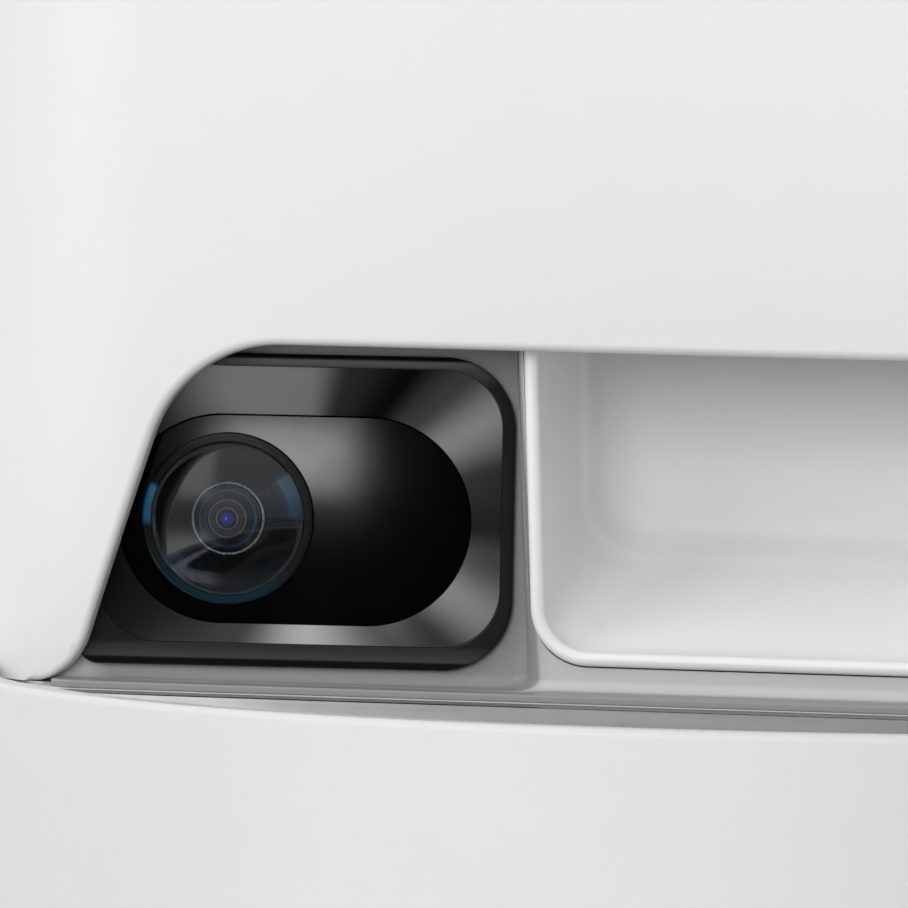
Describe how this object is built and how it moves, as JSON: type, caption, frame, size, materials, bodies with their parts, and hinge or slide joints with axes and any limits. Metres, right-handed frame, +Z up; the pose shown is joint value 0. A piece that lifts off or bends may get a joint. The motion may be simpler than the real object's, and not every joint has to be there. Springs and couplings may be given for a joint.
{
  "type": "camera pet feeder",
  "caption": "Automatic dry food feeder for pets with a camera module beside its chute, a lift-out steel bowl, a dosing rotor and a hinged lid over a lift-out tank.",
  "frame": {"origin": "on the surface that the feeder stands on, under the middle of its overall box", "axes": "+Z up, -Y towards the bowl and the chute, +X to the right as seen from the front"},
  "size_m": [0.25, 0.316, 0.325],
  "materials": {
    "shell_white": "satin white",
    "tray_white": "satin white",
    "inner_white": "matte off-white",
    "bowl_steel": "brushed",
    "steel": "plain",
    "bezel_black": "satin black",
    "panel_grey": "satin dark metallic grey",
    "window_black": "polished black",
    "ring_black": "polished black",
    "dome_glass": "clear, tinted",
    "lens_ring": "satin",
    "lens_glass": "coated",
    "board": "lacquered board",
    "brass": "turned",
    "gear_plastic": "matte ivory",
    "rotor_grey": "matte grey",
    "smoked": "smoked",
    "soft_grey": "matte",
    "rubber": "matte",
    "light": "translucent"
  },
  "bodies": {
    "base": {"base_housing": "tray_white", "base_plate": "inner_white", "foot_1": "rubber", "foot_2": "rubber", "foot_3": "rubber", "foot_4": "rubber", "battery_holder": "inner_white", "battery_contacts": "steel", "body_shell": "shell_white", "recess_liner": "shell_white", "chute": "shell_white", "camera_bezel": "bezel_black", "camera_bevel_panel": "panel_grey", "camera_window": "window_black", "dome_ring": "ring_black", "camera_dome": "dome_glass", "lens_barrel": "ring_black", "lens_retaining_ring": "lens_ring", "front_lens": "lens_glass", "camera_board": "board", "infrared_lamp_1": "lens_glass", "infrared_lamp_2": "lens_glass", "microphone": "steel", "speaker": "rubber", "inner_frame": "inner_white", "rotor_housing": "inner_white", "rotor_bushing": "brass", "rotor_cover": "inner_white", "motor": "steel", "top_frame": "shell_white", "status_light": "light", "service_cover": "shell_white", "cover_screw_1": "steel", "cover_screw_2": "steel", "cover_screw_3": "steel", "cover_screw_4": "steel", "power_inlet": "rubber", "main_board": "board"},
    "bowl": {"steel_bowl": "bowl_steel"},
    "rotor": {"rotor": "rotor_grey", "rotor_shaft": "steel", "rotor_gear": "gear_plastic"},
    "pinion": {"motor_pinion": "brass"},
    "tank": {"food_tank": "inner_white", "hinge_pin_1": "steel", "hinge_pin_2": "steel"},
    "lid": {"lid_cover": "shell_white", "lid_window": "smoked", "lid_liner": "inner_white", "lid_seal": "soft_grey", "desiccant_box": "inner_white"},
    "latch": {"lid_latch": "shell_white"},
    "desiccant_cap": {"desiccant_cover": "inner_white"},
    "feed_key": {"feed_button": "shell_white"},
    "reset_key": {"reset_button": "rubber"},
    "battery_flap": {"battery_door": "tray_white"}
  },
  "joints": [
    {"name": "bowl_lift", "type": "slide", "parent": "base", "child": "bowl", "axis": [0, 0, 1], "range_m": [0, 0.06]},
    {"name": "rotor_spin", "type": "hinge", "parent": "base", "child": "rotor", "pos_m": [0, 0.0168, 0.14], "axis": [0, 0, 1], "continuous": true},
    {"name": "pinion_spin", "type": "hinge", "parent": "base", "child": "pinion", "pos_m": [0, 0.0468, 0.125], "axis": [0, 0, 1], "continuous": true},
    {"name": "tank_lift", "type": "slide", "parent": "base", "child": "tank", "axis": [0, 0, 1], "range_m": [0, 0.16]},
    {"name": "lid_hinge", "type": "hinge", "parent": "tank", "child": "lid", "pos_m": [0, 0.149, 0.3211], "axis": [-1, 0, 0], "range_deg": [0, 105]},
    {"name": "latch_press", "type": "slide", "parent": "lid", "child": "latch", "axis": [0, 1, 0], "range_m": [0, 0.0011], "stiffness_N_per_m": 400, "springref_m": -0.002},
    {"name": "desiccant_pull", "type": "slide", "parent": "lid", "child": "desiccant_cap", "axis": [0, 0, -1], "range_m": [0, 0.03]},
    {"name": "feed_button_press", "type": "slide", "parent": "base", "child": "feed_key", "axis": [0, 0, -1], "range_m": [0, 0.0015], "stiffness_N_per_m": 500, "springref_m": -0.001},
    {"name": "reset_button_press", "type": "slide", "parent": "base", "child": "reset_key", "axis": [0, -1, 0], "range_m": [0, 0.0008], "stiffness_N_per_m": 500, "springref_m": -0.001},
    {"name": "battery_door_hinge", "type": "hinge", "parent": "base", "child": "battery_flap", "pos_m": [0, 0.1568, 0.01], "axis": [-1, 0, 0], "range_deg": [0, 95]}
  ],
  "couplings": [
    {"joint": "pinion_spin", "follows": "rotor_spin", "ratio": -4}
  ]
}
